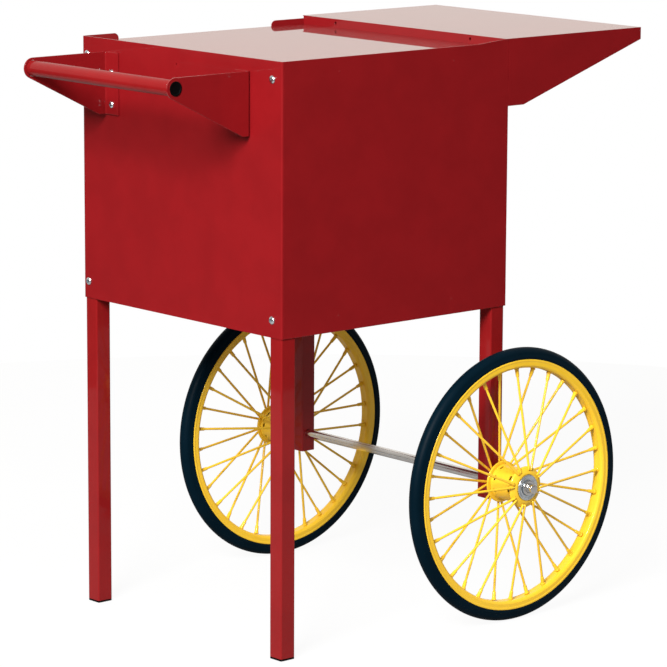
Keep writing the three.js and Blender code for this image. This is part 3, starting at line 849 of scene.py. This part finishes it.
FLOOR_R = 2.2
FLOOR_SHADE = ((0.32, 0.32, 0.32), (0.35, 0.35, 0.35))
FLOOR_GLOW = 1.09
FLOOR_GLOW_SHARE = 0.86


def floor():
    """Round floor that looks white to the camera and still takes a faint shadow."""
    bm = bmesh.new()
    bmesh.ops.create_circle(bm, cap_ends=True, radius=FLOOR_R, segments=96)
    mesh = bpy.data.meshes.new("studio_floor")
    bm.to_mesh(mesh)
    bm.free()
    material = bpy.data.materials.new("studio_floor")
    material.use_nodes = True
    shader = Nodes(material.node_tree)
    output = shader.add("ShaderNodeOutputMaterial")
    diffuse = shader.add("ShaderNodeBsdfDiffuse")
    tint = ramp(shader, noise(shader, 1.5), *FLOOR_SHADE)
    shader.link(tint, diffuse.inputs["Color"])
    glow = shader.add("ShaderNodeEmission")
    path = shader.add("ShaderNodeLightPath")
    amount = shader.add("ShaderNodeMath", operation="MULTIPLY")
    amount.inputs[1].default_value = FLOOR_GLOW_SHARE
    mix = shader.add("ShaderNodeMixShader")
    glow.inputs["Strength"].default_value = FLOOR_GLOW
    shader.link(path.outputs["Is Camera Ray"], amount.inputs[0])
    shader.link(amount.outputs[0], mix.inputs[0])
    shader.link(diffuse.outputs[0], mix.inputs[1])
    shader.link(glow.outputs[0], mix.inputs[2])
    shader.link(mix.outputs[0], output.inputs["Surface"])
    mesh.materials.append(material)
    piece = bpy.data.objects.new("studio_floor", mesh)
    piece.location.z = -0.0005
    bpy.context.scene.collection.objects.link(piece)


def area_light(name, place, aim, size, power):
    data = bpy.data.lights.new(name, "AREA")
    data.shape = "SQUARE"
    data.size = size
    data.energy = power
    light = bpy.data.objects.new(name, data)
    light.location = place
    light.rotation_euler = (Vector(aim) - Vector(place)).to_track_quat("-Z", "Y").to_euler()
    bpy.context.scene.collection.objects.link(light)


KEY_PLACE = (-4.9, -2.7, 4.1)
KEY_AIM = (0.0, 0.0, 0.5)
KEY_SIZE = 2.3
KEY_POWER = 800.0
BACKDROP_HEADING = math.radians(49.0)
BACKDROP = Vector((math.cos(BACKDROP_HEADING), math.sin(BACKDROP_HEADING), 0.0))
FACING_BACKDROP = (("From Min", -0.2), ("From Max", 0.8), ("To Min", 0.36), ("To Max", 0.90))
ABOVE_HORIZON = (("From Min", -0.06), ("From Max", 0.02), ("To Min", 0.03), ("To Max", 1.0))
SKY_COLOUR = (1.02, 0.968, 0.905, 1.0)


def world():
    """White to the camera; for light, brightest over the backdrop behind the cart."""
    scene_world = bpy.data.worlds.new("studio")
    bpy.context.scene.world = scene_world
    scene_world.use_nodes = True
    shader = Nodes(scene_world.node_tree)
    output = shader.add("ShaderNodeOutputWorld")
    direction = shader.add("ShaderNodeTexCoord")
    split = shader.add("ShaderNodeSeparateXYZ")
    shader.link(direction.outputs["Generated"], split.inputs[0])
    facing = shader.add("ShaderNodeVectorMath", operation="DOT_PRODUCT")
    facing.inputs[1].default_value = BACKDROP
    shader.link(direction.outputs["Generated"], facing.inputs[0])
    behind = shader.add("ShaderNodeMapRange", interpolation_type="SMOOTHSTEP")
    for socket, value in FACING_BACKDROP:
        behind.inputs[socket].default_value = value
    shader.link(facing.outputs["Value"], behind.inputs["Value"])
    above = shader.add("ShaderNodeMapRange", interpolation_type="SMOOTHSTEP")
    for socket, value in ABOVE_HORIZON:
        above.inputs[socket].default_value = value
    shader.link(split.outputs["Z"], above.inputs["Value"])
    strength = shader.add("ShaderNodeMath", operation="MULTIPLY")
    shader.link(behind.outputs["Result"], strength.inputs[0])
    shader.link(above.outputs["Result"], strength.inputs[1])
    lit = shader.add("ShaderNodeBackground")
    shader.link(strength.outputs[0], lit.inputs["Strength"])
    seen = shader.add("ShaderNodeBackground")
    path = shader.add("ShaderNodeLightPath")
    mix = shader.add("ShaderNodeMixShader")
    lit.inputs["Color"].default_value = SKY_COLOUR
    seen.inputs["Color"].default_value = (1.0, 1.0, 1.0, 1.0)
    shader.link(path.outputs["Is Camera Ray"], mix.inputs[0])
    shader.link(lit.outputs[0], mix.inputs[1])
    shader.link(seen.outputs[0], mix.inputs[2])
    shader.link(mix.outputs[0], output.inputs["Surface"])


floor()
area_light("key", KEY_PLACE, KEY_AIM, KEY_SIZE, KEY_POWER)
world()
bpy.context.scene.view_settings.view_transform = "Standard"
